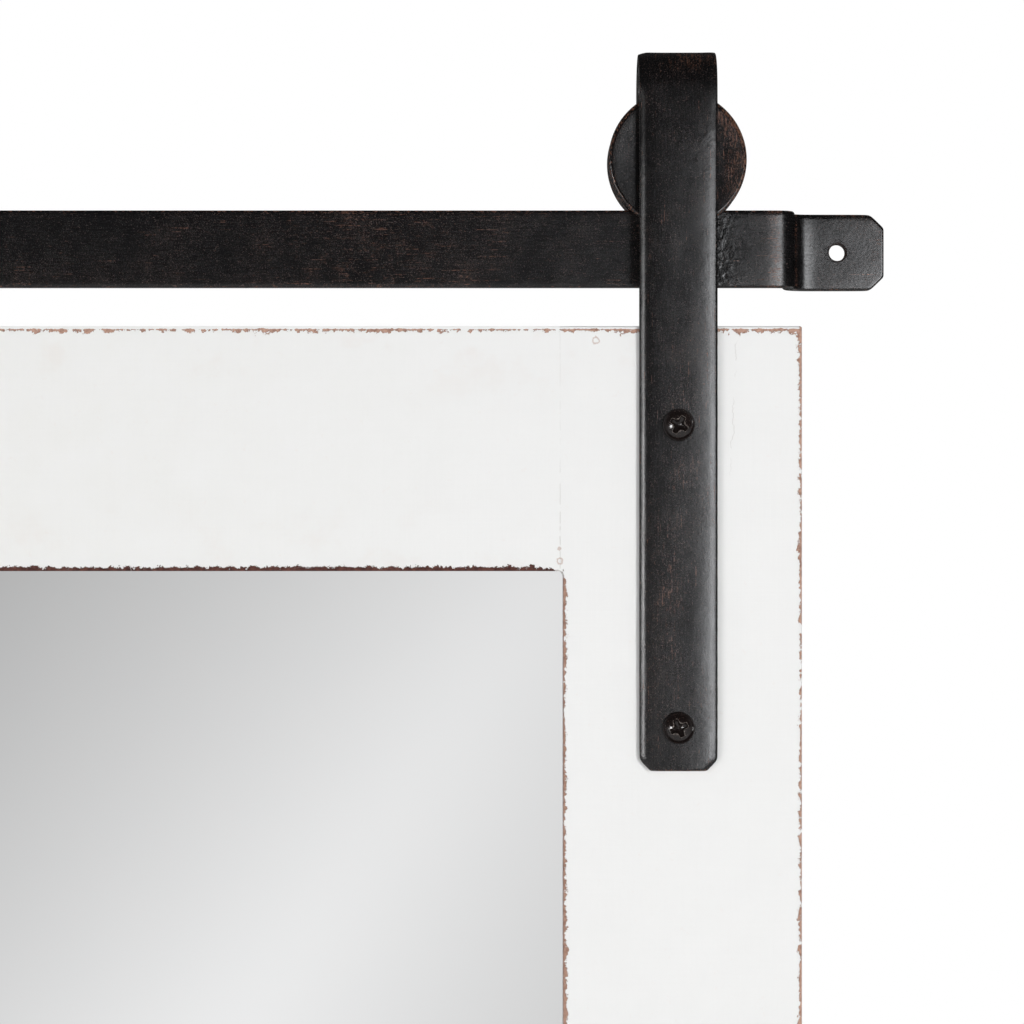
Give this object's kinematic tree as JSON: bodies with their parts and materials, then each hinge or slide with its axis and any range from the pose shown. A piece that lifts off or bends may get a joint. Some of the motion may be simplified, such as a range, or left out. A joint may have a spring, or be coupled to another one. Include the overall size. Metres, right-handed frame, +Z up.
{
  "type": "full length panel mirror",
  "caption": "Full length mirror in a worn white board frame, hung on a flat-bar wall track by strap hangers whose grooved wheels roll along it.",
  "frame": {"origin": "on the wall plane, midway between the two wall screw holes of the track", "axes": "+Z up, +X to the right seen from the front, +Y into the wall; the mirror faces -Y"},
  "size_m": [0.5158, 0.0306, 1.31],
  "materials": {
    "blackened_bronze_steel": "satin, near-black with brown wear",
    "plain_steel": "plain zinc grey",
    "white_painted_wood": "matt white paint, worn at the edges",
    "beech": "unfinished",
    "silvered_mirror": "polished",
    "foam": "soft foam",
    "hardboard": "smooth brown hardboard",
    "grey_rubber": "matt"
  },
  "bodies": {
    "track": {"track_bar": "blackened_bronze_steel"},
    "hanging_mirror": {"left_hanger_strap": "blackened_bronze_steel", "right_hanger_strap": "blackened_bronze_steel", "left_axle_screw": "blackened_bronze_steel", "right_axle_screw": "blackened_bronze_steel", "left_axle_sleeve": "plain_steel", "right_axle_sleeve": "plain_steel", "left_axle_washers": "blackened_bronze_steel", "right_axle_washers": "blackened_bronze_steel", "left_strap_screws": "blackened_bronze_steel", "right_strap_screws": "blackened_bronze_steel", "left_stile": "white_painted_wood", "right_stile": "white_painted_wood", "top_board": "white_painted_wood", "bottom_board": "white_painted_wood", "corner_dowels": "beech", "mirror_glass": "silvered_mirror", "foam_sheet": "foam", "backing_board": "hardboard", "backing_points": "plain_steel", "wall_bumpers": "grey_rubber"},
    "left_wheel": {"left_wheel": "blackened_bronze_steel"},
    "right_wheel": {"right_wheel": "blackened_bronze_steel"}
  },
  "joints": [
    {"name": "mirror_slide", "type": "slide", "parent": "track", "child": "hanging_mirror", "axis": [1, 0, 0], "range_m": [-0.02, 0.02]},
    {"name": "left_wheel_roll", "type": "hinge", "parent": "hanging_mirror", "child": "left_wheel", "pos_m": [-0.188, -0.015, 0.0288], "axis": [0, 1, 0], "range_deg": [-72, 72]},
    {"name": "right_wheel_roll", "type": "hinge", "parent": "hanging_mirror", "child": "right_wheel", "pos_m": [0.188, -0.015, 0.0288], "axis": [0, 1, 0], "range_deg": [-72, 72]}
  ],
  "couplings": [
    {"joint": "left_wheel_roll", "follows": "mirror_slide", "rad_per_m": 62.5},
    {"joint": "right_wheel_roll", "follows": "mirror_slide", "rad_per_m": 62.5}
  ]
}
